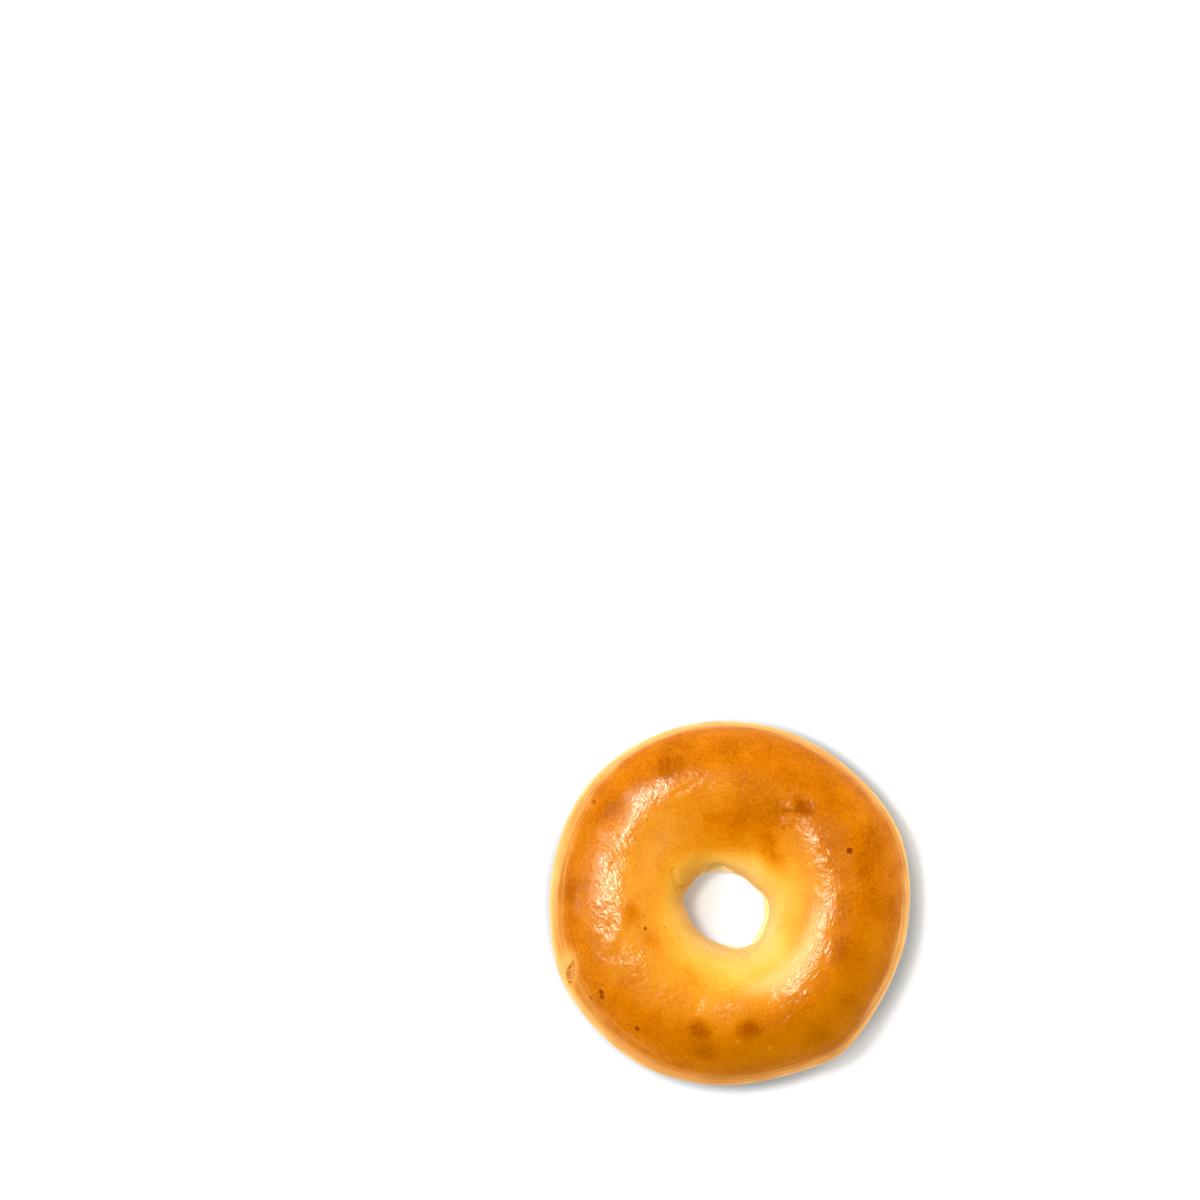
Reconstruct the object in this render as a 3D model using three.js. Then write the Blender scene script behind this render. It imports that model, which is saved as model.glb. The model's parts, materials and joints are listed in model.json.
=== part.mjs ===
// A plain bagel, boiled and baked: one ring of dough with a flat foot, a domed top and an uneven round hole.
// Millimetres and degrees, +Z up, standing on z = 0 with the middle of its box over the origin.
// Angles run anticlockwise from +X, seen from above.
import * as THREE from "three";

// Driving dimensions of the ring.
const OUTER_RADIUS = 54.0; // outline, before its swells
const HOLE_RADIUS = 11.2; // hole at its throat, before its swells
const HOLE_CENTRE = new THREE.Vector2(-2.0, -1.8); // the hole sits a little off the middle
const HEIGHT = 35; // foot to crest, before its swells

// Driving dimensions of the section, a D lying on its flat side.
const BELLY_HEIGHT = 15; // where the outline is widest
const THROAT_HEIGHT = 7; // where the hole is narrowest
const WALL_TOP = 15; // where the hole's wall turns into the slope
const WALL_LEAN = 0.9; // how far the wall falls back from its throat to its top
const FOOT_INNER_RADIUS = 16.5;
const FOOT_OUTER_RADIUS = 45.5;
const CREST_RADIUS = 30.6;

// How full each rounded stretch of the section is: 0.55 is a quarter of an ellipse, and more is squarer.
const HEEL_FULLNESS = 0.56;
const SHOULDER_FULLNESS = 0.54;
const SLOPE_FULLNESS = 0.58;
const THROAT_FULLNESS = 0.55;

// Facets: sections round the ring, and steps along each stretch of the section.
const RING_STEPS = 112;
const FOOT_STEPS = 4;
const HEEL_STEPS = 7;
const SHOULDER_STEPS = 12;
const SLOPE_STEPS = 10;
const WALL_STEPS = 6;
const THROAT_STEPS = 5;

// Swells are where the dough grew or shrank: each is a smooth bump centred `at` an angle, fading over `across`.
const OUTLINE_SWELLS = [
  { at: 23, across: 17, by: 1.4 },
  { at: 121, across: 50, by: 1.7 },
  { at: 142, across: 17, by: 0.6 },
  { at: 202, across: 15, by: 1.3 },
  { at: 240, across: 34, by: 1.8 },
  { at: 306, across: 13, by: 2.4 },
];
const HOLE_SWELLS = [
  { at: 16, across: 15, by: 1.1 },
  { at: 132, across: 27, by: 1.2 },
  { at: 167, across: 15, by: 1.3 },
  { at: 229, across: 42, by: -1.3 },
  { at: 305, across: 17, by: 2.0 },
  { at: 344, across: 22, by: 1.2 },
];
const CREST_SWELLS = [
  { at: 30, across: 22, by: 0.6 },
  { at: 60, across: 10, by: -0.5 },
  { at: 95, across: 24, by: 0.4 },
  { at: 143, across: 14, by: -0.5 },
  { at: 180, across: 18, by: 0.6 },
  { at: 250, across: 26, by: -0.6 },
  { at: 295, across: 8, by: -0.8 },
  { at: 335, across: 22, by: 0.5 },
];

// Leans are where the crest lies further out, so that the ring is steep outside and slopes gently to the hole.
const CREST_LEANS = [
  { at: 62, across: 39, by: 5.8 },
  { at: 120, across: 31, by: 6.1 },
  { at: 327, across: 37, by: 2.7 },
];
const LEAN_FOOT = 20; // the lean grows from this height up

// Lips are where the bottom crust reaches into the hole under the dough that bulges above it.
const LIPS = [
  { at: 99, across: 17, by: 2.9 },
  { at: 284, across: 14, by: 0.9 },
  { at: 323, across: 13, by: 2.0 },
  { at: 358, across: 22, by: 1.6 },
];
const LIP_TOP = 7.5; // the lip's own top
const BULGE_FOOT = 10.5; // where the bulge above the lip has fallen back all the way
const BULGE_TOP = 27; // where the bulge no longer falls back

// The sum of the bumps at one angle.
function swellAt(swells, angle) {
  return swells.reduce((sum, { at, across, by }) => {
    const turn = THREE.MathUtils.euclideanModulo(angle - at + 180, 360) - 180;
    return sum + by * Math.exp(-((turn / across) ** 2));
  }, 0);
}

// Adds one rounded stretch to a path, from a level end to an upright one or the other way round.
function roundTo(path, x, z, fullness, startsLevel) {
  const from = path.currentPoint;
  const dx = fullness * (x - from.x);
  const dz = fullness * (z - from.y);
  if (startsLevel) path.bezierCurveTo(from.x + dx, from.y, x, z - dz, x, z);
  else path.bezierCurveTo(from.x, from.y + dz, x - dx, z, x, z);
}

// The section's outline as radius and height, from the foot's inner edge out, over the crest and down the hole.
function sectionPoints() {
  const path = new THREE.Path();
  const wallTopRadius = HOLE_RADIUS + WALL_LEAN;
  path.moveTo(FOOT_INNER_RADIUS, 0);
  path.lineTo(FOOT_OUTER_RADIUS, 0);
  roundTo(path, OUTER_RADIUS, BELLY_HEIGHT, HEEL_FULLNESS, true);
  roundTo(path, CREST_RADIUS, HEIGHT, SHOULDER_FULLNESS, false);
  roundTo(path, wallTopRadius, WALL_TOP, SLOPE_FULLNESS, true);
  path.quadraticCurveTo(HOLE_RADIUS, (WALL_TOP + THROAT_HEIGHT) / 2, HOLE_RADIUS, THROAT_HEIGHT);
  roundTo(path, FOOT_INNER_RADIUS, 0, THROAT_FULLNESS, false);

  const steps = [FOOT_STEPS, HEEL_STEPS, SHOULDER_STEPS, SLOPE_STEPS, WALL_STEPS, THROAT_STEPS];
  const points = path.curves.flatMap((curve, i) => curve.getPoints(steps[i]).slice(0, -1));
  return [...points, points[0].clone()];
}

// How far the hole's wall falls back above a lip, at one angle and height.
function lipRecess(angle, z) {
  const rise = THREE.MathUtils.smoothstep(z, LIP_TOP, BULGE_FOOT);
  const fade = 1 - THREE.MathUtils.smoothstep(z, BULGE_FOOT, BULGE_TOP);
  return swellAt(LIPS, angle) * rise * fade;
}

// Turns one point of the even ring into its place on the uneven one.
function shapePoint(point) {
  const radius = Math.hypot(point.x, point.y);
  const across = (radius - HOLE_RADIUS) / (OUTER_RADIUS - HOLE_RADIUS);
  const direction = new THREE.Vector2(point.x, point.y).divideScalar(radius);
  const angle = THREE.MathUtils.radToDeg(direction.angle());

  const holeRadius = HOLE_RADIUS + swellAt(HOLE_SWELLS, angle);
  const outerRadius = OUTER_RADIUS + swellAt(OUTLINE_SWELLS, angle);
  const holeEdge = HOLE_CENTRE.clone().addScaledVector(direction, holeRadius);
  const outerEdge = direction.clone().multiplyScalar(outerRadius);
  const place = holeEdge.lerp(outerEdge, across);

  const inward = 1 - THREE.MathUtils.smoothstep(radius, HOLE_RADIUS, CREST_RADIUS);
  place.addScaledVector(direction, lipRecess(angle, point.z) * inward);
  const leaning = THREE.MathUtils.smoothstep(point.z, LEAN_FOOT, HEIGHT);
  place.addScaledVector(direction, swellAt(CREST_LEANS, angle) * leaning);
  const height = point.z * (1 + swellAt(CREST_SWELLS, angle) / HEIGHT);
  return point.set(place.x, place.y, height);
}

// The whole ring as one closed surface, centred over the origin.
function bagelGeometry() {
  const geometry = new THREE.LatheGeometry(sectionPoints(), RING_STEPS);
  geometry.rotateX(Math.PI / 2);
  const position = geometry.getAttribute("position");
  const point = new THREE.Vector3();
  for (let i = 0; i < position.count; i++) {
    shapePoint(point.fromBufferAttribute(position, i));
    position.setXYZ(i, point.x, point.y, point.z);
  }
  geometry.computeBoundingBox();
  const middle = geometry.boundingBox.getCenter(new THREE.Vector3());
  geometry.translate(-middle.x, -middle.y, 0);
  geometry.computeVertexNormals();
  return geometry;
}

// Baked crust: golden, with a soft shine.
const crust = new THREE.MeshStandardMaterial({ color: 0xd98824, roughness: 0.45, metalness: 0 });

const bagel = new THREE.Mesh(bagelGeometry(), crust);
bagel.name = "bagel";

const model = new THREE.Group();
model.add(bagel);

export default model;
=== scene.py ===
"""A plain baked bagel lying on a pale table, looked at from straight above.

The crust is one closed ring of dough. It is drawn over the solid bagel of the frame, pushed into
shape, wrinkled, torn open at one bubble near the rim, and finished as baked bread.

Lengths in the classes below are millimetres and angles are degrees, anticlockwise from +X and seen
from above, unless a name says otherwise. Blender itself works in metres.
"""

from __future__ import annotations

import json
import logging
import math
from collections.abc import Iterable, Iterator, Sequence
from contextlib import contextmanager
from dataclasses import dataclass
from enum import Enum
from typing import ClassVar

import bpy
import numpy as np
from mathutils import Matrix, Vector

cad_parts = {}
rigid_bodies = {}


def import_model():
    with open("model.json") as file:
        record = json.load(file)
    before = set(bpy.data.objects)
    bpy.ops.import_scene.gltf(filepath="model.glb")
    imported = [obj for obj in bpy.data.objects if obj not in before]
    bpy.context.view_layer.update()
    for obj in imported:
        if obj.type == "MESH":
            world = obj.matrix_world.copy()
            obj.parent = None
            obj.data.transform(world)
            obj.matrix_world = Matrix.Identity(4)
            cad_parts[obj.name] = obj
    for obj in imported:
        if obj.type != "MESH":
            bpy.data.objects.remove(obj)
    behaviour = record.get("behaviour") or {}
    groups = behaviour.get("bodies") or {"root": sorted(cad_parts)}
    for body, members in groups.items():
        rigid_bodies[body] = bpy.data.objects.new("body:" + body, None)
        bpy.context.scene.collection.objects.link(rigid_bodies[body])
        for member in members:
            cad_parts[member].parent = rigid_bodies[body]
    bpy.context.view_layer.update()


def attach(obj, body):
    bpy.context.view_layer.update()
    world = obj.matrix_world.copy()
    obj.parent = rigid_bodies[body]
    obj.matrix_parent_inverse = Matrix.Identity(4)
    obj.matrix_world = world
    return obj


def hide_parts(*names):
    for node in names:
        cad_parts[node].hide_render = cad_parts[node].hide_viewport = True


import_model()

MM = 0.001
NODE = "bagel"
BODY = "root"

log = logging.getLogger("bagel")

Colour = tuple[float, float, float]


def srgb(red: int, green: int, blue: int) -> Colour:
    """Turns a colour as a screen shows it into the linear light that shaders work in.

    Args:
        red: Red, 0 to 255.
        green: Green, 0 to 255.
        blue: Blue, 0 to 255.

    Returns:
        The linear colour.
    """

    def linear(level: int) -> float:
        """Decodes one channel."""
        share = level / 255
        return share / 12.92 if share <= 0.04045 else ((share + 0.055) / 1.055) ** 2.4

    return linear(red), linear(green), linear(blue)


# ---------------------------------------------------------------------------------------------
# Node trees as expressions
# ---------------------------------------------------------------------------------------------


class Field:
    """A socket of a node tree, or a sum of sockets, that Python arithmetic works on."""

    def __init__(self, bench: "Bench", socket: bpy.types.NodeSocket) -> None:
        """Wraps one output socket.

        Args:
            bench: The bench that holds the node tree.
            socket: The output socket.
        """
        self.bench = bench
        self.socket = socket

    def __add__(self, other: "Term") -> "Field":
        """Adds."""
        return self.bench.math("ADD", self, other)

    def __radd__(self, other: "Term") -> "Field":
        """Adds, from the right."""
        return self.bench.math("ADD", other, self)

    def __sub__(self, other: "Term") -> "Field":
        """Subtracts."""
        return self.bench.math("SUBTRACT", self, other)

    def __rsub__(self, other: "Term") -> "Field":
        """Subtracts, from the right."""
        return self.bench.math("SUBTRACT", other, self)

    def __mul__(self, other: "Term") -> "Field":
        """Multiplies."""
        return self.bench.math("MULTIPLY", self, other)

    def __rmul__(self, other: "Term") -> "Field":
        """Multiplies, from the right."""
        return self.bench.math("MULTIPLY", other, self)

    def __truediv__(self, other: "Term") -> "Field":
        """Divides."""
        return self.bench.math("DIVIDE", self, other)

    def __abs__(self) -> "Field":
        """Drops the sign."""
        return self.bench.math("ABSOLUTE", self)

    def up_to(self, other: "Term") -> "Field":
        """Keeps the smaller of the two."""
        return self.bench.math("MINIMUM", self, other)

    def at_least(self, other: "Term") -> "Field":
        """Keeps the larger of the two."""
        return self.bench.math("MAXIMUM", self, other)

    def step(self, low: float, high: float) -> "Field":
        """Rises smoothly from 0 at `low` to 1 at `high`, or falls where `low` is the larger.

        Args:
            low: Where the result is 0.
            high: Where the result is 1.

        Returns:
            The eased share.
        """
        rising = low < high
        ends = (low, high, 0.0, 1.0) if rising else (high, low, 1.0, 0.0)
        names = ("From Min", "From Max", "To Min", "To Max")
        return self.bench.out(
            "ShaderNodeMapRange",
            {"interpolation_type": "SMOOTHSTEP", "clamp": True},
            {"Value": self, **dict(zip(names, ends))},
            "Result",
        )

    def hump(self, middle: float, spread: float) -> "Field":
        """A smooth bump of height 1 at `middle` that is gone `spread` away on either side."""
        return abs(self - middle).step(spread, 0.0)


Term = Field | float | int


class Bench:
    """Builds one node tree, in a material, a world or a Geometry Nodes group."""

    def __init__(self, tree: bpy.types.NodeTree) -> None:
        """Takes the tree to build in.

        Args:
            tree: The node tree, which may already hold nodes.
        """
        self.tree = tree

    def node(
        self,
        kind: str,
        settings: dict[str, object] | None = None,
        inputs: dict[str | int, object] | None = None,
    ) -> bpy.types.Node:
        """Adds any node.

        Args:
            kind: The node's type name.
            settings: Its properties, set first. `stops` fills a colour ramp with (place, colour).
            inputs: Values or links of its input sockets, by name or number.

        Returns:
            The new node.
        """
        made = self.tree.nodes.new(kind)
        for name, value in (settings or {}).items():
            if name == "stops":
                self._fill_ramp(made.color_ramp, value)
            else:
                setattr(made, name, value)
        for name, value in (inputs or {}).items():
            socket = made.inputs[name]
            if isinstance(value, Field):
                self.tree.links.new(value.socket, socket)
            elif socket.type == "RGBA":
                socket.default_value = (*value, 1.0)
            else:
                socket.default_value = value
        return made

    def out(
        self,
        kind: str,
        settings: dict[str, object] | None = None,
        inputs: dict[str | int, object] | None = None,
        output: str | int = 0,
    ) -> Field:
        """Adds a node and returns one of its outputs.

        Args:
            kind: The node's type name.
            settings: Its properties.
            inputs: Values or links of its input sockets.
            output: The output's name or number.

        Returns:
            The output as a field.
        """
        return Field(self, self.node(kind, settings, inputs).outputs[output])

    def math(self, operation: str, *terms: Term) -> Field:
        """Adds a Math node.

        Args:
            operation: The node's operation.
            terms: One to three fields or numbers.

        Returns:
            The result.
        """
        return self.out("ShaderNodeMath", {"operation": operation}, dict(enumerate(terms)))

    def vector(self, x: Term, y: Term, z: Term) -> Field:
        """Joins three numbers into a vector."""
        return self.out("ShaderNodeCombineXYZ", None, {"X": x, "Y": y, "Z": z})

    def split(self, vector: Field) -> tuple[Field, Field, Field]:
        """Splits a vector into its three numbers."""
        parts = self.node("ShaderNodeSeparateXYZ", None, {"Vector": vector})
        return tuple(Field(self, parts.outputs[axis]) for axis in ("X", "Y", "Z"))

    def scaled(self, vector: Field, factor: Term) -> Field:
        """Scales a vector by a number."""
        return self.out(
            "ShaderNodeVectorMath", {"operation": "SCALE"}, {"Vector": vector, "Scale": factor}
        )

    def mix(self, share: Term, first: Colour | Field, second: Colour | Field) -> Field:
        """Mixes two colours.

        Args:
            share: How much of the second colour.
            first: The colour at 0.
            second: The colour at 1.

        Returns:
            The mixed colour.
        """
        settings = {"data_type": "RGBA", "clamp_factor": True}
        return self.out("ShaderNodeMix", settings, {0: share, 6: first, 7: second}, 2)

    @staticmethod
    def _fill_ramp(ramp: bpy.types.ColorRamp, stops: Sequence[tuple[float, Colour]]) -> None:
        """Gives a colour ramp its stops.

        Args:
            ramp: The ramp, with fewer stops so far.
            stops: Each stop's place, from 0 to 1, and its colour.
        """
        while len(ramp.elements) < len(stops):
            ramp.elements.new(1.0)
        for element, (place, colour) in zip(ramp.elements, stops):
            element.position = place
            element.color = (*colour, 1.0)


class RingPlace:
    """Where a point of the crust is: its height, its distance from the middle and its direction.

    Both the wrinkles in the mesh and the browning in the material are worked out from it.
    """

    MIDDLE = 33.0  # the radius at which a length along the ring is measured
    DROP = 0.4  # how far height counts as distance across the ring, for strands on the sides

    def __init__(self, bench: Bench, position: Field) -> None:
        """Works the place out.

        Args:
            bench: The bench of the tree.
            position: The point's own coordinates, in metres.
        """
        self.bench = bench
        self.point = bench.scaled(position, 1 / MM)
        self.x, self.y, self.z = bench.split(self.point)
        self.radius = bench.math("SQRT", self.x * self.x + self.y * self.y)
        self.east = self.x / self.radius
        self.north = self.y / self.radius

    def toward(self, angle: float) -> Field:
        """How squarely the point lies in a direction from the middle: 1 straight along it."""
        turn = math.radians(angle)
        return self.east * math.cos(turn) + self.north * math.sin(turn)

    def sector(self, angle: float, spread: float) -> Field:
        """1 along a direction, fading to 0 at `spread` degrees on either side."""
        return self.toward(angle).step(math.cos(math.radians(spread)), 1.0)

    def noise(
        self,
        size: float,
        detail: float = 2.0,
        shift: float = 0.0,
        twist: float = 0.0,
        vector: Field | None = None,
    ) -> Field:
        """Noise from 0 to 1, mostly between 0.3 and 0.7.

        Args:
            size: Millimetres across one lump.
            detail: Octaves on top of the first.
            shift: Picks another part of the noise.
            twist: How far the noise is warped by itself.
            vector: Coordinates to use in place of the point's own.

        Returns:
            The noise.
        """
        return self.bench.out(
            "ShaderNodeTexNoise",
            {"noise_dimensions": "4D"},
            {
                "Vector": vector or self.point,
                "W": shift,
                "Scale": 1 / size,
                "Detail": detail,
                "Distortion": twist,
            },
        )

    def ridges(
        self, size: float, detail: float = 1.0, shift: float = 0.0, twist: float = 0.0
    ) -> Field:
        """Crinkles: sharp crests 1 high with hollows down to about 0.4 between them."""
        return 1 - abs(self.noise(size, detail, shift, twist) * 2 - 1)

    def drawn_noise(
        self, along: float, across: float, detail: float = 2.0, shift: float = 0.0
    ) -> Field:
        """Noise drawn out along the ring, or across it where `across` is the larger.

        Args:
            along: Millimetres along the ring, at its middle, to one lump.
            across: Millimetres across the ring to one lump.
            detail: Octaves on top of the first.
            shift: Picks another part of the noise.

        Returns:
            The noise, from 0 to 1.
        """
        reach = self.MIDDLE / along
        slant = (self.radius - self.z * self.DROP) / across
        vector = self.bench.vector(self.east * reach, self.north * reach, slant)
        return self.noise(1.0, detail, shift, vector=vector)

    def streaks(
        self, angle: float, across: float, along: float, shift: float = 0.0, twist: float = 0.7
    ) -> Field:
        """Noise drawn out in one direction as seen from above.

        Args:
            angle: The direction that the streaks run in.
            across: Millimetres across one streak.
            along: Millimetres along one streak.
            shift: Picks another part of the noise.
            twist: How far the streaks wind.

        Returns:
            The noise, from 0 to 1.
        """
        turn = math.radians(angle)
        ahead = self.x * math.cos(turn) + self.y * math.sin(turn)
        aside = self.y * math.cos(turn) - self.x * math.sin(turn)
        vector = self.bench.vector(ahead / along, aside / across, self.z / along)
        return self.noise(1.0, 1.0, shift, twist, vector)

    def dots(self, gap: float, reach: float) -> Field:
        """Scattered dots, 1 at their middles and 0 from `reach` out.

        Args:
            gap: Millimetres between the cells that hold one dot each.
            reach: A dot's radius in millimetres.

        Returns:
            The dots.
        """
        away = self.bench.out(
            "ShaderNodeTexVoronoi", None, {"Vector": self.point, "Scale": 1 / gap}, "Distance"
        )
        return away.step(reach / gap, 0.0)


# ---------------------------------------------------------------------------------------------
# Places on the ring and hand work on a mesh
# ---------------------------------------------------------------------------------------------


@dataclass(frozen=True)
class Spot:
    """A place on the crust as seen from above, in millimetres right and up from the middle."""

    x: float
    y: float

    @classmethod
    def out(cls, angle: float, radius: float) -> "Spot":
        """The place at an angle and a distance from the middle."""
        turn = math.radians(angle)
        return cls(math.cos(turn) * radius, math.sin(turn) * radius)

    def at(self, height: float = 0.0) -> Vector:
        """The place in metres, at a height in millimetres."""
        return Vector((self.x, self.y, height)) * MM


HOLE_MIDDLE = Spot(-1.8, -1.9)


def bearing(points: np.ndarray, middle: Spot = Spot(0.0, 0.0)) -> tuple[np.ndarray, np.ndarray]:
    """Angle and distance of points from a middle, as seen from above.

    Args:
        points: Places in millimetres, one row each.
        middle: Where the angles and distances are taken from.

    Returns:
        The angles in degrees and the distances in millimetres.
    """
    x, y = points[:, 0] - middle.x, points[:, 1] - middle.y
    return np.degrees(np.arctan2(y, x)), np.hypot(x, y)


def turned(angles: np.ndarray, angle: float) -> np.ndarray:
    """How far angles lie from one angle, from -180 to 180 degrees."""
    return (angles - angle + 180.0) % 360.0 - 180.0


def eased(share: np.ndarray) -> np.ndarray:
    """Eases a share from 0 to 1."""
    held = np.clip(share, 0.0, 1.0)
    return held * held * (3.0 - 2.0 * held)


class Pick(Enum):
    """What a selection holds."""

    VERTICES = (True, False, False)
    EDGES = (False, True, False)
    FACES = (False, False, True)


class Falloff(Enum):
    """How a push fades away from where it is made."""

    ROUND = "SMOOTH"
    DOMED = "SPHERE"


class Workpiece:
    """A mesh object on the modelling bench."""

    ABOVE = 1000.0  # a height well clear of the crust

    def __init__(self, obj: bpy.types.Object) -> None:
        """Takes the object to work on.

        Args:
            obj: A mesh object at the origin.
        """
        self.obj = obj

    @property
    def mesh(self) -> bpy.types.Mesh:
        """The object's mesh."""
        return self.obj.data

    def activate(self) -> None:
        """Makes this the only selected object, and the active one."""
        bpy.ops.object.select_all(action="DESELECT")
        self.obj.select_set(True)
        bpy.context.view_layer.objects.active = self.obj

    def points(self) -> np.ndarray:
        """Reads every vertex's place.

        Returns:
            The places in millimetres, one row each.
        """
        flat = np.empty(3 * len(self.mesh.vertices), dtype=np.float32)
        self.mesh.vertices.foreach_get("co", flat)
        return flat.reshape(-1, 3) / MM

    def edge_ends(self) -> np.ndarray:
        """Reads which vertices every edge joins.

        Returns:
            The two vertex numbers of each edge, one row each.
        """
        flat = np.empty(2 * len(self.mesh.edges), dtype=np.int32)
        self.mesh.edges.foreach_get("vertices", flat)
        return flat.reshape(-1, 2)

    def face_centres(self) -> np.ndarray:
        """Reads every face's middle.

        Returns:
            The middles in millimetres, one row each.
        """
        flat = np.empty(3 * len(self.mesh.polygons), dtype=np.float32)
        self.mesh.polygons.foreach_get("center", flat)
        return flat.reshape(-1, 3) / MM

    @contextmanager
    def editing(self, pick: Pick, chosen: np.ndarray | None = None) -> Iterator[None]:
        """Opens edit mode with a selection made, and closes it again.

        Args:
            pick: What the selection holds.
            chosen: Which of them are selected; all, if left out.

        Yields:
            Nothing; edit mode is open meanwhile.
        """
        self.activate()
        parts = {
            Pick.VERTICES: self.mesh.vertices,
            Pick.EDGES: self.mesh.edges,
            Pick.FACES: self.mesh.polygons,
        }
        for items in parts.values():
            items.foreach_set("select", np.zeros(len(items), dtype=bool))
        if chosen is not None:
            parts[pick].foreach_set("select", chosen.astype(bool))
        bpy.context.tool_settings.mesh_select_mode = pick.value
        bpy.ops.object.mode_set(mode="EDIT")
        if chosen is None:
            bpy.ops.mesh.select_all(action="SELECT")
        yield
        bpy.ops.object.mode_set(mode="OBJECT")

    def modify(self, kind: str, name: str, **settings: object) -> None:
        """Adds a modifier and applies it at once.

        Args:
            kind: The modifier's type.
            name: Its name.
            settings: Its properties.
        """
        self.activate()
        modifier = self.obj.modifiers.new(name, kind)
        for key, value in settings.items():
            setattr(modifier, key, value)
        bpy.ops.object.modifier_apply(modifier=modifier.name)

    def drop(self, spot: Spot) -> Vector:
        """Finds the crust under a spot.

        Args:
            spot: The spot as seen from above.

        Returns:
            The highest point there, in metres.

        Raises:
            ValueError: If the spot lies off the crust.
        """
        start = spot.at(self.ABOVE)
        hit, place, _, _ = self.obj.ray_cast(start, Vector((0.0, 0.0, -1.0)))
        if not hit:
            raise ValueError(f"no crust under {spot}")
        return place

    def near(self, spots: Iterable[Spot], reach: float) -> np.ndarray:
        """Marks the faces that lie close to any of some spots.

        Args:
            spots: The spots as seen from above.
            reach: Millimetres from the crust under a spot to a face's middle.

        Returns:
            Which faces lie within reach.
        """
        centres = self.face_centres()
        marked = np.zeros(len(centres), dtype=bool)
        for spot in spots:
            gap = centres - np.array(self.drop(spot), dtype=np.float32) / MM
            marked |= (gap * gap).sum(axis=1) < reach * reach
        return marked

    def nearest(self, places: Iterable[Vector]) -> np.ndarray:
        """Marks the one vertex nearest to each of some places.

        Args:
            places: The places in metres.

        Returns:
            Which vertices are nearest.
        """
        points = self.points()
        marked = np.zeros(len(points), dtype=bool)
        for place in places:
            gap = points - np.array(place, dtype=np.float32) / MM
            marked[(gap * gap).sum(axis=1).argmin()] = True
        return marked

    def refine(self, faces: np.ndarray, cuts: int) -> None:
        """Divides faces into smaller ones.

        Args:
            faces: Which faces.
            cuts: Cuts along each edge.
        """
        with self.editing(Pick.FACES, faces):
            bpy.ops.mesh.subdivide(number_cuts=cuts)

    def swell(self, chosen: np.ndarray, by: float, reach: float, falloff: Falloff) -> None:
        """Pushes the crust out along its own direction, or in where `by` is negative.

        Args:
            chosen: The vertices that move all the way.
            by: Millimetres out.
            reach: Millimetres over which the push fades.
            falloff: How it fades.
        """
        with self.editing(Pick.VERTICES, chosen):
            bpy.ops.transform.shrink_fatten(
                value=by * MM,
                use_proportional_edit=True,
                proportional_edit_falloff=falloff.value,
                proportional_size=reach * MM,
            )

    def paint(self, name: str, values: np.ndarray) -> None:
        """Stores one number at every vertex, for the finish to read.

        Args:
            name: The attribute's name.
            values: The numbers.
        """
        layer = self.mesh.attributes.new(name, "FLOAT", "POINT")
        layer.data.foreach_set("value", values.astype(np.float32))

    def chosen(self) -> np.ndarray:
        """Finds what the last edit left selected.

        Returns:
            Which vertices are selected.
        """
        marked = np.zeros(len(self.mesh.vertices), dtype=bool)
        self.mesh.vertices.foreach_get("select", marked)
        return marked


# ---------------------------------------------------------------------------------------------
# The bagel
# ---------------------------------------------------------------------------------------------


@dataclass(frozen=True)
class Dent:
    """A soft push into the crust, or a lump where `by` is positive."""

    spot: Spot
    by: float
    reach: float
    falloff: Falloff = Falloff.ROUND


@dataclass(frozen=True)
class Crease:
    """A groove along a line of spots, or a ridge where `by` is positive."""

    spots: tuple[Spot, ...]
    by: float
    reach: float
    falloff: Falloff = Falloff.ROUND

    def places(self, piece: Workpiece, gap: float = 0.5) -> list[Vector]:
        """Finds points along the line on the crust.

        Args:
            piece: The crust.
            gap: Millimetres between the points.

        Returns:
            The points in metres.
        """
        places: list[Vector] = []
        for start, end in zip(self.spots, self.spots[1:]):
            a, b = start.at(), end.at()
            steps = max(1, round((b - a).length / MM / gap))
            for step in range(steps + 1):
                flat = a.lerp(b, step / steps) / MM
                places.append(piece.drop(Spot(flat.x, flat.y)))
        return places


@dataclass(frozen=True)
class Pit:
    """A burst blister: a small hollow with a slightly raised edge."""

    spot: Spot
    width: float
    depth: float
    scorch: float = 0.5


@dataclass(frozen=True)
class Lip:
    """A ledge where the bottom crust reaches into the hole, under the dough that bulges above it.

    What lies from `below` to `above` its height, and no further out than `outer` from the hole's
    middle, is pressed to a sheet of `thickness` times its former height.
    """

    angle: float
    spread: float
    height: float = 7.6
    below: float = 0.3
    above: float = 3.0
    outer: float = 18.0
    thickness: float = 0.12


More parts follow.
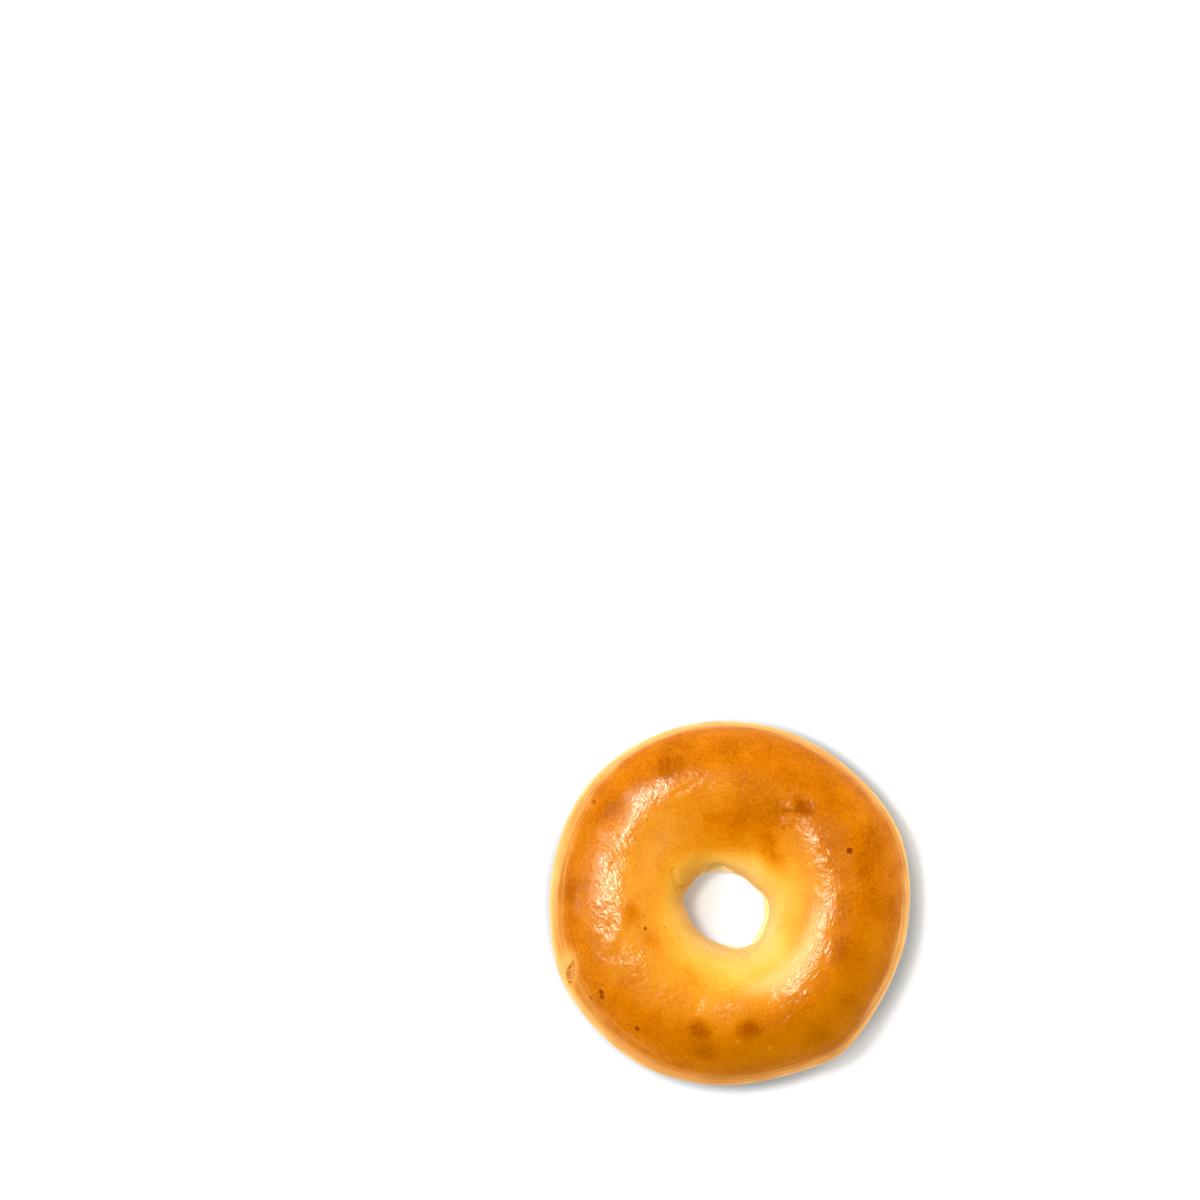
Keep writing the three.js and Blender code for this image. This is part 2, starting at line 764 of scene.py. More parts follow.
@dataclass(frozen=True)
class TornBubble:
    """A bubble that tore open near the rim, so that the crumb shows in a rough hollow."""

    outline: tuple[Spot, ...] = (
        Spot(-46.9, -16.8),
        Spot(-46.6, -19.5),
        Spot(-46.6, -22.0),
        Spot(-47.4, -24.0),
        Spot(-48.4, -25.2),
        Spot(-49.1, -23.2),
        Spot(-49.5, -21.3),
        Spot(-49.2, -20.1),
        Spot(-48.6, -18.9),
        Spot(-47.7, -17.8),
    )
    margin: float = 1.2
    depth: float = 0.5
    crumb: float = 0.2
    cuts: int = 3
    seed: int = 4
    foot: float = 12.0
    halo_foot: float = 10.0
    halo_shift: tuple[float, float] = (-0.7, 1.2)
    halo_size: tuple[float, float] = (3.2, 6.2)
    halo_core: float = 0.35

    @property
    def middle(self) -> Spot:
        """The mean of the outline's corners."""
        count = len(self.outline)
        return Spot(sum(s.x for s in self.outline) / count, sum(s.y for s in self.outline) / count)

    def within(self, points: np.ndarray, margin: float = 0.0) -> np.ndarray:
        """Marks the points of the upper half that lie inside the outline, seen from above.

        Args:
            points: Places in millimetres, one row each.
            margin: How far the outline is let out.

        Returns:
            Which points lie inside.
        """
        middle = self.middle
        corners = []
        for spot in self.outline:
            dx, dy = spot.x - middle.x, spot.y - middle.y
            grow = 1.0 + margin / math.hypot(dx, dy)
            corners.append((middle.x + dx * grow, middle.y + dy * grow))
        inside = np.zeros(len(points), dtype=bool)
        for (x0, y0), (x1, y1) in zip(corners, corners[1:] + corners[:1]):
            crosses = (points[:, 1] < y0) != (points[:, 1] < y1)
            meets = x0 + (points[:, 1] - y0) * (x1 - x0) / ((y1 - y0) or 1e-9)
            inside ^= crosses & (points[:, 0] < meets)
        return inside & (points[:, 2] > self.foot)

    def halo(self, points: np.ndarray) -> np.ndarray:
        """How pale the stretched skin round the bubble is, mostly above it and to its left.

        Args:
            points: Places in millimetres, one row each.

        Returns:
            The share at each point, from 0 to 1.
        """
        aside = (points[:, 0] - self.middle.x - self.halo_shift[0]) / self.halo_size[0]
        along = (points[:, 1] - self.middle.y - self.halo_shift[1]) / self.halo_size[1]
        share = eased(1.0 + self.halo_core - np.hypot(aside, along))
        return share * (points[:, 2] > self.halo_foot)

    def tear(self, piece: Workpiece) -> np.ndarray:
        """Opens the bubble.

        Args:
            piece: The crust.

        Returns:
            Which vertices line the hollow.
        """
        piece.refine(self.within(piece.face_centres(), self.margin), self.cuts)
        with piece.editing(Pick.FACES, self.within(piece.face_centres())):
            bpy.ops.mesh.extrude_region_shrink_fatten(
                TRANSFORM_OT_shrink_fatten={"value": -self.depth * MM}
            )
            bpy.ops.transform.shrink_fatten(value=-self.depth * MM)
            bpy.ops.mesh.vertices_smooth(factor=0.5, repeat=6)
            bpy.ops.transform.vertex_random(offset=self.crumb * MM, seed=self.seed)
        return piece.chosen()


DENTS = (
    Dent(Spot.out(142.5, 45.0), -1.1, 7.5),
    Dent(Spot.out(114.7, 45.5), -0.4, 4.0),
    Dent(Spot.out(187.5, 30.0), -0.4, 4.0),
    Dent(Spot(22.6, 29.4), -0.7, 3.1),
    Dent(Spot(19.0, 28.8), 0.5, 2.6),
    Dent(Spot(19.3, 25.8), 0.3, 2.4),
    Dent(Spot.out(257.0, 38.7), -0.3, 5.0),
    Dent(Spot.out(278.4, 38.9), -0.4, 5.5),
    Dent(Spot.out(105.0, 44.6), 0.25, 2.2),
    Dent(Spot.out(67.0, 41.6), 0.2, 1.6),
    Dent(Spot.out(345.0, 37.0), -0.3, 8.0),
    Dent(Spot.out(345.0, 26.5), 0.3, 7.0),
    Dent(Spot.out(300.0, 39.5), -0.45, 9.0),
    Dent(Spot.out(318.0, 39.5), -0.45, 9.0),
    Dent(Spot.out(302.0, 28.0), 0.35, 8.0),
    Dent(Spot.out(320.0, 28.0), 0.35, 8.0),
)

CREASES = (
    Crease(
        (Spot.out(159.0, 42.0), Spot.out(172.0, 42.5), Spot.out(190.0, 42.5), Spot.out(207.0, 41.5)),
        0.6,
        6.5,
    ),
    Crease((Spot(16.6, 27.0), Spot(18.6, 27.4), Spot(20.6, 27.1)), -0.35, 1.3),
    Crease((Spot(19.6, 26.5), Spot(19.6, 25.0)), -0.2, 1.2),
    Crease((Spot(20.6, 31.4), Spot(20.5, 29.0), Spot(20.8, 27.6)), -0.3, 1.4),
    Crease((Spot(27.0, 19.0), Spot(27.4, 17.0), Spot(29.4, 14.4), Spot(29.2, 12.6)), 0.3, 1.7),
    Crease((Spot(12.0, 20.8), Spot(13.6, 25.0), Spot(16.6, 27.0)), -0.25, 2.6),
    Crease((Spot(-31.8, -4.5), Spot(-34.2, -9.4), Spot(-36.8, -13.9)), 0.35, 3.0),
    Crease((Spot(-46.0, -8.0), Spot(-41.5, -11.5), Spot(-37.4, -14.6)), -0.3, 3.2),
    Crease(
        (Spot.out(305.0, 17.0), Spot.out(299.0, 22.0), Spot.out(296.0, 32.0), Spot.out(295.0, 41.0)),
        -0.15,
        2.2,
    ),
    Crease((Spot.out(295.0, 38.0), Spot.out(292.0, 44.0)), -0.2, 1.4),
    Crease((Spot.out(254.0, 27.0), Spot.out(252.0, 33.0), Spot.out(253.0, 38.0)), -0.15, 1.8),
    Crease((Spot.out(228.0, 29.0), Spot.out(231.0, 36.0), Spot.out(232.0, 44.0)), -0.12, 1.6),
    Crease((Spot(-45.3, -24.4), Spot(-44.2, -26.9), Spot(-41.6, -29.9), Spot(-38.6, -31.4)), -0.15, 1.2),
    Crease((Spot(-16.9, 9.6), Spot(-16.5, 7.2), Spot(-15.9, 4.6)), -0.7, 1.6),
    Crease((Spot(-15.6, 4.3), Spot(-13.4, 5.2), Spot(-11.4, 6.6), Spot(-9.4, 8.6)), -0.7, 1.2),
    Crease((Spot(5.9, -13.6), Spot(6.5, -15.3)), -0.8, 1.6),
    Crease((Spot(27.9, 18.1), Spot(28.8, 15.7), Spot(30.0, 14.2), Spot(30.3, 13.0)), -0.3, 0.9),
    Crease((Spot(16.6, 27.3), Spot(16.8, 27.5), Spot(18.5, 27.2), Spot(20.0, 27.7)), -0.3, 0.8),
    Crease((Spot(-16.9, 32.9), Spot(-15.0, 34.1), Spot(-12.9, 34.5)), -0.25, 1.1),
    Crease((Spot(17.6, -34.4), Spot(16.9, -37.0), Spot(16.4, -40.4)), 0.3, 1.1),
    Crease((Spot(17.0, -36.0), Spot(19.7, -38.0)), 0.25, 1.0),
)

PITS = (
    Pit(Spot(36.0, 15.8), 1.6, 0.6, 0.45),
    Pit(Spot(-38.6, -26.7), 1.4, 0.5, 0.32),
    Pit(Spot(-38.4, -28.1), 1.3, 0.4, 0.26),
    Pit(Spot(-40.3, 36.2), 1.1, 0.3, 0.35),
    Pit(Spot(-40.9, 30.5), 1.4, 0.15, 0.2),
    Pit(Spot(-27.8, -37.6), 1.2, 0.3, 0.35),
    Pit(Spot(-41.9, -28.4), 0.9, 0.2, 0.25),
    Pit(Spot(-25.5, -7.5), 0.9, 0.2, 0.5),
)

BLISTERS = (
    Spot(-28.1, 23.1),
    Spot(-33.6, 20.5),
    Spot(-13.8, -37.3),
    Spot(-12.1, -31.1),
    Spot(0.0, -29.2),
    Spot(-1.8, -34.3),
    Spot(-45.3, 4.4),
    Spot(-9.0, 39.0),
)

LIPS = (Lip(97.0, 21.0), Lip(281.0, 15.0), Lip(349.0, 42.0))


@dataclass
class DoughRing:
    """The ring of dough, from a plain torus to the crust's own shape.

    Rows are counted by their angle in the torus's section, from straight out and over the top.
    """

    MERGE: ClassVar[float] = 0.02  # millimetres between corners that are one
    CROSSWISE: ClassVar[float] = 0.3  # degrees of the section that an edge across the rows spans

    segments: int = 192
    rows: int = 64
    middle_radius: float = 33.0
    middle_height: float = 20.0
    tube_radius: float = 7.0
    upper_rows: tuple[float, float] = (-25.0, 235.0)
    throat_rows: tuple[float, float] = (198.0, 222.0)
    burst_reach: float = 1.6
    pit_edge: float = 0.12
    blister_rise: float = 0.2
    blister_reach: float = 0.6
    bubble: TornBubble = TornBubble()

    def build(self) -> Workpiece:
        """Makes the finished crust.

        Returns:
            The crust, at the origin, ready for its material.
        """
        core = self._smooth_core()
        piece = self._plain_ring()
        self._double(piece)
        self._draw_over(piece, core)
        bpy.data.objects.remove(core.obj, do_unlink=True)
        self._shape_by_hand(piece)
        self._wrinkle(piece)
        self._burst(piece)
        torn = self.bubble.tear(piece)
        self._close(piece)
        self._paint(piece, torn)
        return piece

    def _smooth_core(self) -> Workpiece:
        """Copies the solid bagel, merges its loose faces and rounds off its facets.

        Returns:
            The copy.
        """
        bpy.ops.object.select_all(action="DESELECT")
        solid = next(o for o in bpy.data.objects if o.name == NODE)
        core = Workpiece(bpy.data.objects.new("core", solid.data.copy()))
        bpy.context.scene.collection.objects.link(core.obj)
        with core.editing(Pick.VERTICES):
            bpy.ops.mesh.remove_doubles(threshold=self.MERGE * MM)
            bpy.ops.mesh.tris_convert_to_quads(
                face_threshold=math.radians(60), shape_threshold=math.radians(80)
            )
        core.modify("SUBSURF", "rounding", levels=2, render_levels=2)
        return core

    def _plain_ring(self) -> Workpiece:
        """Adds a thin torus that lies well inside the dough.

        Returns:
            The torus.
        """
        bpy.ops.object.select_all(action="DESELECT")
        bpy.ops.mesh.primitive_torus_add(
            major_segments=self.segments,
            minor_segments=self.rows,
            major_radius=self.middle_radius * MM,
            minor_radius=self.tube_radius * MM,
            location=(0.0, 0.0, self.middle_height * MM),
        )
        obj = bpy.context.active_object
        obj.name = "crust"
        bpy.ops.object.transform_apply(location=True, rotation=True, scale=True)
        return Workpiece(obj)

    def _double(self, piece: Workpiece) -> None:
        """Doubles the torus both ways, its upper rows once more and those at the throat again.

        Args:
            piece: The torus.
        """
        with piece.editing(Pick.FACES):
            bpy.ops.mesh.subdivide(number_cuts=1)
        for first, last in (self.upper_rows, self.throat_rows):
            with piece.editing(Pick.EDGES, self._row_edges(piece, first, last)):
                bpy.ops.mesh.subdivide(number_cuts=1)

    def _row_edges(self, piece: Workpiece, first: float, last: float) -> np.ndarray:
        """Finds the edges that run across the rows, between two angles of the torus's section.

        Args:
            piece: The torus.
            first: The angle where they start.
            last: The angle where they end.

        Returns:
            Which edges they are.
        """
        points = piece.points()
        out = np.hypot(points[:, 0], points[:, 1]) - self.middle_radius
        turn = np.degrees(np.arctan2(points[:, 2] - self.middle_height, out))
        start, end = turn[piece.edge_ends()].T
        span = turned(end, start)
        middle = (start + span / 2 - first) % 360.0 + first
        return (np.abs(span) > self.CROSSWISE) & (middle < last)

    def _draw_over(self, piece: Workpiece, core: Workpiece) -> None:
        """Lets the torus out until it meets the dough all round.

        Args:
            piece: The torus.
            core: The dough, as a smooth copy of the solid.
        """
        piece.modify(
            "SHRINKWRAP",
            "draw over the core",
            target=core.obj,
            wrap_method="PROJECT",
            use_positive_direction=True,
            use_negative_direction=False,
        )
        piece.modify("SMOOTH", "settle", factor=0.5, iterations=2)

    def _shape_by_hand(self, piece: Workpiece) -> None:
        """Flattens the lips, presses in the dents and draws the creases.

        Args:
            piece: The crust.
        """
        for lip in LIPS:
            self._flatten(piece, lip)
        for dent in DENTS:
            chosen = piece.nearest([piece.drop(dent.spot)])
            piece.swell(chosen, dent.by, dent.reach, dent.falloff)
        for crease in CREASES:
            chosen = piece.nearest(crease.places(piece))
            piece.swell(chosen, crease.by, crease.reach, crease.falloff)

    def _flatten(self, piece: Workpiece, lip: Lip) -> None:
        """Presses one lip flat, so that the dough above rises from it at a sharp corner.

        Args:
            piece: The crust.
            lip: The lip.
        """
        points = piece.points()
        angle, reach = bearing(points, HOLE_MIDDLE)
        lift = points[:, 2] - lip.height
        level = (lift > -lip.below) & (lift < lip.above)
        chosen = (np.abs(turned(angle, lip.angle)) < lip.spread) & (reach < lip.outer) & level
        with piece.editing(Pick.VERTICES, chosen):
            bpy.ops.transform.resize(
                value=(1.0, 1.0, lip.thickness), center_override=(0.0, 0.0, lip.height * MM)
            )

    def _wrinkle(self, piece: Workpiece) -> None:
        """Wrinkles the skin over the whole crust except its foot.

        Args:
            piece: The crust.
        """
        tree = bpy.data.node_groups.new("wrinkled skin", "GeometryNodeTree")
        tree.interface.new_socket("Geometry", in_out="INPUT", socket_type="NodeSocketGeometry")
        tree.interface.new_socket("Geometry", in_out="OUTPUT", socket_type="NodeSocketGeometry")
        bench = Bench(tree)
        place = RingPlace(bench, bench.out("GeometryNodeInputPosition"))
        rise = skin_relief(place) * place.z.step(0.5, 5.0)
        push = bench.scaled(bench.out("GeometryNodeInputNormal"), rise * MM)
        moved = bench.out(
            "GeometryNodeSetPosition",
            None,
            {"Geometry": bench.out("NodeGroupInput"), "Offset": push},
        )
        bench.node("NodeGroupOutput", None, {"Geometry": moved})
        piece.modify("NODES", "wrinkles", node_group=tree)
        bpy.data.node_groups.remove(tree)

    def _burst(self, piece: Workpiece) -> None:
        """Raises the small blisters and opens the pits.

        Args:
            piece: The crust.
        """
        spots = [pit.spot for pit in PITS] + list(BLISTERS)
        piece.refine(piece.near(spots, self.burst_reach), 2)
        for pit in PITS:
            middle = piece.nearest([piece.drop(pit.spot)])
            piece.swell(middle, self.pit_edge, pit.width * 1.1, Falloff.ROUND)
            piece.swell(middle, -pit.depth - self.pit_edge, pit.width * 0.6, Falloff.DOMED)
        for spot in BLISTERS:
            middle = piece.nearest([piece.drop(spot)])
            piece.swell(middle, self.blister_rise, self.blister_reach, Falloff.DOMED)

    def _close(self, piece: Workpiece) -> None:
        """Turns every face outwards and smooths the shading.

        Args:
            piece: The crust.
        """
        with piece.editing(Pick.FACES):
            bpy.ops.mesh.normals_make_consistent(inside=False)
        piece.activate()
        bpy.ops.object.shade_smooth()

    def _paint(self, piece: Workpiece, torn: np.ndarray) -> None:
        """Marks where the crust baked darker or stayed paler, and where the crumb shows.

        Args:
            piece: The crust.
            torn: Which vertices line the torn bubble.
        """
        points = piece.points()
        angle, radius = bearing(points)
        baked = np.zeros(len(points))
        for patch in BROWNED:
            baked += patch.strength * patch.share(angle, radius)
        baked *= eased((points[:, 2] - 8.0) / 8.0)
        for pit in PITS:
            place = np.array(piece.drop(pit.spot)) / MM
            gap = np.linalg.norm(points - place, axis=1)
            baked += pit.scorch * eased(1.25 - gap / (pit.width * 0.75))
        piece.paint("browning", baked)
        piece.paint("crumb", torn.astype(float))
        piece.paint("halo", self.bubble.halo(points))


def skin_relief(place: RingPlace) -> Field:
    """How far the skin stands out, in millimetres: soft unevenness and the larger wrinkles.

    Args:
        place: Where the point is.

    Returns:
        The relief.
    """
    lumps = (place.noise(15.0, detail=1.0) - 0.5) * 0.6
    dimples = (place.noise(5.0, detail=1.0, shift=2.0) - 0.5) * 0.14
    leather = (place.ridges(2.4, shift=3.0, twist=0.8) - 0.7) * 0.22
    top = place.radius.step(20.0, 27.0) * place.z.step(20.0, 29.0)
    folds = (place.drawn_noise(1.5, 6.0, detail=1.0, shift=5.0) - 0.5) * 0.16
    folded = place.sector(35.0, 42.0) * place.radius.hump(31.0, 10.0)
    slants = (place.streaks(-58.0, 1.5, 7.0, shift=6.0) - 0.5) * 0.22
    slanted = place.sector(184.0, 30.0) * place.radius.hump(39.0, 11.0)
    stretched = (place.drawn_noise(18.0, 1.7, detail=1.0, shift=7.0) - 0.5) * 0.25
    rim = place.radius.step(46.0, 50.0) * place.z.step(6.0, 12.0)
    return lumps + dimples + leather * top + folds * folded + slants * slanted + stretched * rim


# ---------------------------------------------------------------------------------------------
# Finishes
# ---------------------------------------------------------------------------------------------


@dataclass(frozen=True)
class Browned:
    """A patch of the top that baked darker, or stayed paler where `strength` is negative."""

    spot: Spot
    along: float
    across: float
    strength: float

    def share(self, angle: np.ndarray, radius: np.ndarray) -> np.ndarray:
        """How strongly the patch shows at each place, from 0 to 1.

        Args:
            angle: The places' angles in degrees.
            radius: Their distances from the middle in millimetres.

        Returns:
            The share.
        """
        middle = math.hypot(self.spot.x, self.spot.y)
        heading = math.degrees(math.atan2(self.spot.y, self.spot.x))
        aside = np.radians(turned(angle, heading)) * middle / self.along
        return eased(1.0 - np.hypot(aside, (radius - middle) / self.across))


BROWNED = (
    Browned(Spot.out(86, 23.5), 18, 11, 0.19),
    Browned(Spot.out(59, 22.0), 6, 4, 0.12),
    Browned(Spot.out(52, 36.5), 5.5, 4.5, 0.22),
    Browned(Spot.out(113.5, 44.8), 7, 5, 0.11),
    Browned(Spot.out(141.5, 45), 9, 6, 0.11),
    Browned(Spot.out(175, 48), 8, 4, 0.1),
    Browned(Spot.out(187, 29.5), 6, 5, 0.2),
    Browned(Spot.out(205, 26), 6, 4, 0.12),
    Browned(Spot.out(257, 38.9), 5.5, 4.5, 0.22),
    Browned(Spot.out(260.5, 45), 8, 5, 0.15),
    Browned(Spot.out(278.4, 38.2), 6, 5, 0.25),
    Browned(Spot.out(305, 47), 12, 5, 0.06),
    Browned(Spot.out(320, 45.5), 8, 5, 0.1),
    Browned(Spot.out(334, 37), 9, 5, 0.1),
    Browned(Spot.out(16, 45), 16, 8, 0.07),
    Browned(Spot.out(42, 18.5), 8, 5, 0.25),
    Browned(Spot.out(142, 15.5), 8, 5, 0.1),
    Browned(Spot(2.5, -41.5), 0.9, 0.9, -0.45),
    Browned(Spot(12.1, -43.4), 0.9, 0.9, -0.45),
)


@dataclass(frozen=True)
class BakedCrust:
    """The finish of the crust: golden and browned on top, pale in the hole and down the sides."""

    # Pale dough of the hole, made paler still as painted light where light reaches into the hole.
    cream_with_painted_light: Colour = srgb(255, 242, 186)
    pale: Colour = srgb(248, 207, 118)
    yellow: Colour = srgb(245, 195, 90)
    golden: Colour = srgb(238, 173, 58)
    orange: Colour = srgb(229, 147, 38)
    baked: Colour = srgb(208, 118, 19)
    browned: Colour = srgb(164, 80, 10)
    burnt: Colour = srgb(112, 50, 5)
    shaded: Colour = srgb(172, 104, 16)
    # Painted shade for the hole's upper-left slope, which faces away from the lights.
    olive_shade: Colour = srgb(196, 146, 60)
    # A painted sheen: the soft gloss on the slope down into the hole, at the lower right.
    painted_sheen: Colour = srgb(252, 214, 140)
    # Partly the paler side of the dough, partly painted rim light from the bright surroundings.
    peach_and_rim_light: Colour = srgb(250, 184, 100)
    tan: Colour = srgb(226, 146, 58)
    side: Colour = srgb(252, 212, 134)
    crumb: Colour = srgb(246, 190, 104)
    hollow: Colour = srgb(212, 130, 46)
    halo: Colour = srgb(252, 190, 98)
    speck: Colour = srgb(104, 54, 12)
    shine: Colour = (1.0, 0.87, 0.68)
    glazed_level: float = 0.65
    glazed_roughness: float = 0.25
    dry_level: float = 0.1
    dry_roughness: float = 0.6

    IOR: ClassVar[float] = 1.5
    BURNT: ClassVar[float] = 1.5  # the browning at which the crust is burnt; 1 is well browned

    def material(self) -> bpy.types.Material:
        """Mixes the finish.

        Returns:
            The material.
        """
        made = bpy.data.materials.new("baked crust")
        made.use_nodes = True
        made.node_tree.nodes.clear()
        bench = Bench(made.node_tree)
        place = RingPlace(bench, bench.out("ShaderNodeTexCoord", None, None, "Object"))
        colour, bump = self._colour(place), self._bump(place)
        glazed, dry = (
            bench.out(
                "ShaderNodeBsdfPrincipled",
                None,
                {
                    "Base Color": colour,
                    "Roughness": roughness,
                    "IOR": self.IOR,
                    "Specular IOR Level": level,
                    "Specular Tint": self.shine,
                    "Normal": bump,
                },
            )
            for roughness, level in (
                (self._roughness(place), self.glazed_level),
                (self.dry_roughness, self.dry_level),
            )
        )
        shader = bench.out(
            "ShaderNodeMixShader", None, {"Fac": self._glaze(place), 1: dry, 2: glazed}
        )
        bench.node("ShaderNodeOutputMaterial", None, {"Surface": shader})
        return made

    @staticmethod
    def _attribute(place: RingPlace, name: str) -> Field:
        """Reads one number painted on the mesh."""
        return place.bench.out("ShaderNodeAttribute", {"attribute_name": name}, None, "Fac")

    def _glaze(self, place: RingPlace) -> Field:
        """Works out how much of the crust has the soft gloss of boiled dough: most on the crest.

        Args:
            place: Where the point is.

        Returns:
            The share of gloss, from 0 to 1.
        """
        spread_out = place.sector(158.0, 75.0) * 4.5 - place.sector(340.0, 60.0) * 3.0
        ragged = (place.noise(7.0, shift=12.0) - 0.5) * 9.0
        outer = (place.radius - spread_out + ragged).step(43.0, 38.0)
        inner = (place.radius + place.sector(345.0, 50.0) * 6.0).step(22.0, 30.0)
        crest = inner * outer * place.z.step(15.0, 25.0)
        matt = place.x.step(-19.0, -16.5) * place.sector(85.0, 48.0).step(0.0, 0.15)
        dull = (1 - place.sector(258.0, 50.0) * 0.75) * (1 - place.sector(330.0, 60.0) * 0.25)
        scorched = self._attribute(place, "browning").step(0.02, 0.14)
        return crest * (1 - matt * 0.7) * dull * (1 - scorched * 0.8)

    def _colour(self, place: RingPlace) -> Field:
        """Works out the base colour.

        Args:
            place: Where the point is.

        Returns:
            The colour.
        """
        mottle = place.noise(9.0, detail=3.0, shift=1.0) - 0.5
        colour = self._top(place, mottle)
        colour = self._round_the_hole(place, colour)
        colour = self._flank(place, mottle, colour)
        return self._marks(place, colour)

    def _top(self, place: RingPlace, mottle: Field) -> Field:
        """Colours the whole crust by how far it baked, and darker outside at the lower right.

        Args:
            place: Where the point is.
            mottle: Broad unevenness, about 0.

        Returns:
            The colour.
        """
        patchy = place.noise(3.0, detail=2.0, shift=15.0) * 0.9 + 0.55
        painted = self._attribute(place, "browning") * patchy
        grain = place.noise(0.9, detail=1.0, shift=8.0) - 0.5
        browning = self._browning(place) + painted + mottle * 0.34 + grain * 0.24
        shades = (self.pale, self.yellow, self.golden, self.orange, self.baked, self.browned)
        stops = [(0.2 * number / self.BURNT, shade) for number, shade in enumerate(shades)]
        colour = place.bench.out(
            "ShaderNodeValToRGB",
            {"stops": [*stops, (1.0, self.burnt)]},
            {"Fac": browning / self.BURNT},
        )
        shade = place.sector(300.0, 65.0) * place.radius.step(36.0, 43.0)
        return place.bench.mix(shade * 0.5, colour, self.shaded)

    def _round_the_hole(self, place: RingPlace, colour: Field) -> Field:
        """Adds painted shade, a painted sheen and pale lips with painted light round the hole.

        Args:
            place: Where the point is.
            colour: The colour so far.

        Returns:
            The colour.
        """
        mix = place.bench.mix
        # Painted shade: the hole's upper-left slope, which faces away from the lights, is darkened.
        fold_shade = place.sector(148.0, 45.0) * place.radius.hump(15.0, 5.5)
        colour = mix(fold_shade * 0.55, colour, self.olive_shade)
        # Painted sheen: the lower-right slope above the hole is made paler, as if it caught the gloss.
        slope = place.sector(318.0, 48.0) * place.radius.hump(26.5, 4.5)
        colour = mix(slope * 0.5, colour, self.painted_sheen)
        # Painted light: the hole's lower-right edge and its lips, the upper one most, are lightened.
        lit_mouth = place.radius.step(17.5, 13.0) * place.toward(290.0).step(0.1, 0.9)
        lips = place.radius.step(19.0, 17.0) * place.z.step(12.0, 8.0)
        upper_lip_light = place.toward(97.0).step(0.0, 0.8) * 0.5 + 0.5
        return mix(lit_mouth * 0.35 + lips * upper_lip_light, colour, self.cream_with_painted_light)

    def _flank(self, place: RingPlace, mottle: Field, colour: Field) -> Field:
        """Adds the streaked tan rim with painted rim light, the pale side below and the toasted foot.

        Args:
            place: Where the point is.
            mottle: Broad unevenness, about 0.
            colour: The colour so far.

        Returns:
            The colour.
        """
        mix = place.bench.mix
        outside = place.radius.step(38.0, 48.0)
        sunk = place.sector(150.0, 95.0) * 2.0 + place.sector(222.0, 42.0) * 1.5
        low = place.z + mottle * 6.0 - sunk
        streaked = place.drawn_noise(24.0, 1.2, detail=2.0, shift=14.0)
        # Painted rim light in the pale band. Painted shade where it turns tan at the bottom, and the
        # crust's own tan at the upper right.
        tanned_and_shaded = place.sector(268.0, 55.0) * 0.7 + place.sector(65.0, 30.0) * 0.4
        band = mix(streaked.step(0.3, 0.6) - tanned_and_shaded, self.tan, self.peach_and_rim_light)
        rim = low.step(27.0, 19.0) + (streaked - 0.5) * low.hump(23.5, 6.5) * 1.1
        colour = mix(rim * outside, colour, band)
        side = mix(mottle * 1.8 + 0.1, self.side, self.golden)
        colour = mix((low + streaked * 5.0).step(22.0, 17.0) * outside, colour, side)
        toasted = mix(mottle * 2.0 + 0.6, self.orange, self.browned)
        return mix(low.step(5.0, 0.5) * 0.8, colour, toasted)

    def _marks(self, place: RingPlace, colour: Field) -> Field:
        """Adds the stretched skin round the torn bubble, the crumb in it and the dark specks.

        Args:
            place: Where the point is.
            colour: The colour so far.

        Returns:
            The colour.
        """
        mix = place.bench.mix
        colour = mix(self._attribute(place, "halo") * 0.65, colour, self.halo)
        grains = place.noise(0.9, detail=2.0, shift=18.0).step(0.38, 0.62)
        crumb = mix(grains, self.hollow, self.crumb)
        colour = mix(self._attribute(place, "crumb"), colour, crumb)
        specks = place.dots(3.6, 0.42) * place.z.step(8.0, 26.0)
        return mix(specks * 0.8, colour, self.speck)

    def _browning(self, place: RingPlace) -> Field:
        """Works out how far the top baked: pale at the hole, golden down the slope, then brown.

        Args:
            place: Where the point is.

        Returns:
            The browning, from 0 at the palest to about 0.83 on the shoulder.
        """
        start = 15.5 + place.toward(250.0) * 1.9 + place.sector(300.0, 42.0) * 4.3
        turn = 24.3 - place.sector(86.0, 60.0) * 7.0 + place.sector(290.0, 55.0) * 4.5
        spread = 10.0 + place.sector(160.0, 130.0) * 15.0
        golden = ((place.radius - start) / (turn - start) * 0.4 + 0.2).at_least(0.0).up_to(0.6)
        baked = ((place.radius - turn) / spread).at_least(0.0).up_to(1.0) * 0.25
        spared = place.sector(110.0, 32.0) * place.radius.hump(35.0, 9.0) * 0.08
        return golden + baked - spared

    def _roughness(self, place: RingPlace) -> Field:
        """Works out the roughness of the glossy crust."""
        return self.glazed_roughness + (place.noise(3.0, shift=9.0) - 0.5) * 0.12

    def _bump(self, place: RingPlace) -> Field:
        """Works out the fine wrinkles, in millimetres, as a normal.

        Args:
            place: Where the point is.

        Returns:
            The normal.
        """
        fine = place.ridges(2.3, detail=1.0, shift=5.0, twist=0.8) * 0.1
        left = place.streaks(-60.0, 1.3, 6.0, shift=10.0) * place.toward(197.0).step(0.35, 0.8)
        right = place.drawn_noise(5.0, 1.1, detail=1.0, shift=11.0)
        right = right * place.toward(335.0).step(0.3, 0.8)
        grain = place.noise(0.8, detail=0.0, shift=6.0) * 0.008
        height = fine + left * 0.22 + right * 0.14 + grain
        return place.bench.out(
            "ShaderNodeBump", None, {"Strength": 1.0, "Distance": MM, "Height": height}
        )


# ---------------------------------------------------------------------------------------------
# The studio
# ---------------------------------------------------------------------------------------------


